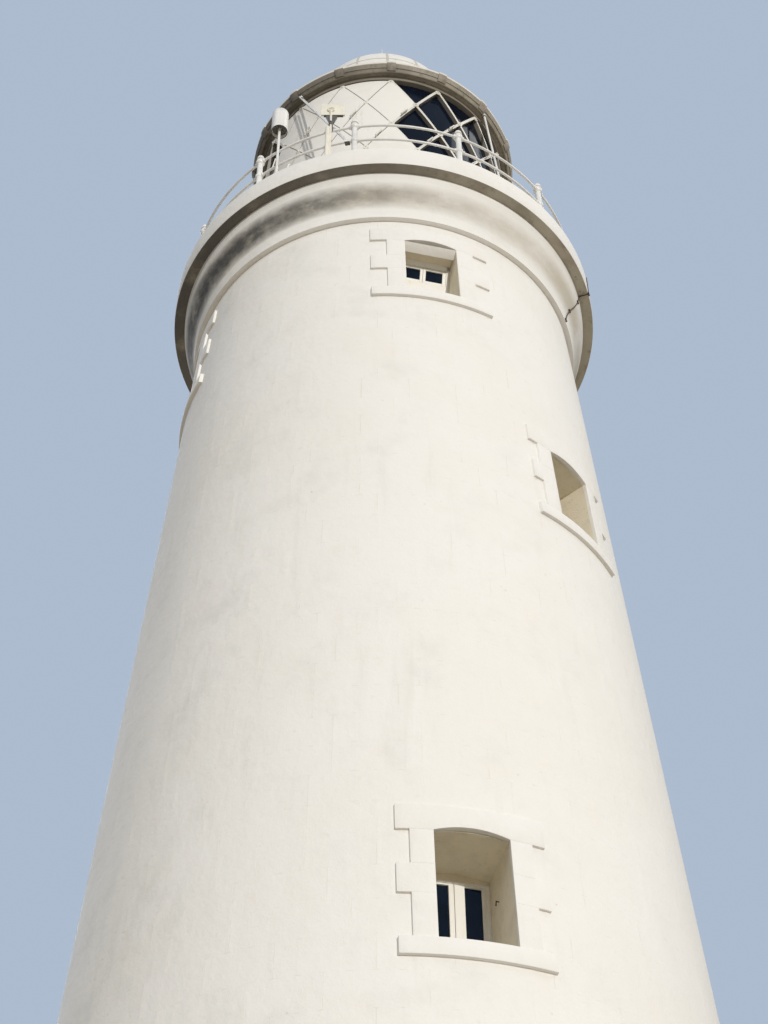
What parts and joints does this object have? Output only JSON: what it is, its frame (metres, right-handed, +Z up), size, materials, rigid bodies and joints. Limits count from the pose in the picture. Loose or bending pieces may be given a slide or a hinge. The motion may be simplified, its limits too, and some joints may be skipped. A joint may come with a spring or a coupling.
{
  "type": "stone lighthouse tower",
  "caption": "Tapering round lighthouse tower with stepped window surrounds, coved cornice, railed gallery and a diagonal-barred lantern under a gutter and ogee roof.",
  "frame": {"origin": "centre of the tower's base, on the ground", "axes": "+Z up the tower's axis; the doorway and the front windows face -Y"},
  "size_m": [8.9, 8.8998, 32.98],
  "materials": {
    "painted_stone": "rough painted",
    "floor_stone": "worn",
    "painted_iron": "satin",
    "floor_iron": "worn",
    "window_paint": "painted",
    "door_paint": "painted",
    "window_glass": "gloss",
    "lantern_glass": "gloss",
    "blank_panel": "satin",
    "roof_paint": "satin",
    "gutter_paint": "dull",
    "fitting_white": "gloss",
    "fitting_grey": "dull"
  },
  "bodies": {
    "root": {"plinth_a": "painted_stone", "plinth_b": "painted_stone", "entrance_wall_a": "painted_stone", "entrance_wall_b": "painted_stone", "doorway_jambs": "painted_stone", "service_wall_a": "painted_stone", "service_wall_b": "painted_stone", "window_jambs": "painted_stone", "window_sills": "painted_stone", "window_quoins": "painted_stone", "window_lintels": "painted_stone", "door_quoins": "painted_stone", "door_lintel": "painted_stone", "cornice_a": "painted_stone", "cornice_b": "painted_stone", "gallery_slab_a": "painted_stone", "gallery_slab_b": "painted_stone", "stair_wall_1_a": "painted_stone", "stair_wall_1_b": "painted_stone", "stair_wall_2_a": "painted_stone", "stair_wall_2_b": "painted_stone", "stair_wall_3_a": "painted_stone", "stair_wall_3_b": "painted_stone", "stair_wall_4_a": "painted_stone", "stair_wall_4_b": "painted_stone", "stair_wall_5_a": "painted_stone", "stair_wall_5_b": "painted_stone", "ground_floor": "floor_stone", "service_floor": "floor_stone", "lantern_floor": "floor_iron", "rail_posts": "painted_iron", "top_rails": "painted_iron", "lower_rails": "painted_iron", "murette_a": "painted_iron", "murette_b": "painted_iron", "gallery_door": "painted_iron", "lantern_curb": "painted_iron", "glazing_bars_a": "painted_iron", "glazing_bars_b": "painted_iron", "lantern_head": "painted_iron", "window_frames": "window_paint", "door_frame": "window_paint", "entrance_door": "door_paint", "window_glass": "window_glass", "clear_panes": "lantern_glass", "blank_panes": "blank_panel", "roof_dome": "roof_paint", "roof_vent": "roof_paint", "gutter_a": "gutter_paint", "gutter_b": "gutter_paint", "gutter_straps": "gutter_paint", "signal_drum": "fitting_white", "hook_rod": "fitting_white", "hanging_bar": "fitting_white", "sensor_box": "fitting_grey", "conductor": "fitting_grey"}
  },
  "joints": []
}
